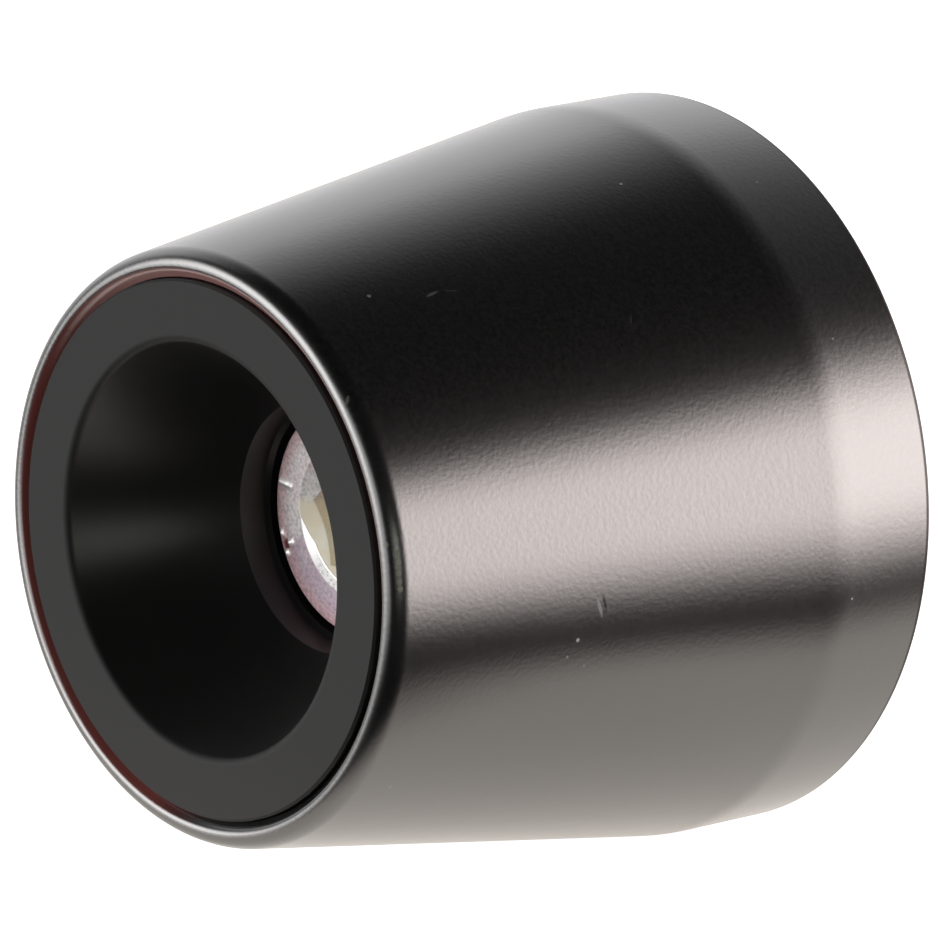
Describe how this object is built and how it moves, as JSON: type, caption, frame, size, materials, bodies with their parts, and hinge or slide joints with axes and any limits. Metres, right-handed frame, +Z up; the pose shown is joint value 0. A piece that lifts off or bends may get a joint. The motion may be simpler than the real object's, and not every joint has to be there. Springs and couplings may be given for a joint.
{
  "type": "handlebar end weight",
  "caption": "Tapered round end weight for a motorcycle handlebar, with a dark cup set into its front and a socket head screw that clamps it to the bar.",
  "frame": {"origin": "centre of the rear seat, where the spigot starts", "axes": "+Y along the turning axis, out of the rear seat into the handlebar; the ring face looks along -Y; +Z up"},
  "size_m": [0.032, 0.0344, 0.032],
  "materials": {
    "body_anodise": "satin black anodised",
    "insert_anodise": "matt black anodised",
    "screw_zinc": "bright zinc plated"
  },
  "bodies": {
    "root": {"weight_body": "body_anodise", "insert_cup": "insert_anodise", "socket_screw": "screw_zinc"}
  },
  "joints": []
}
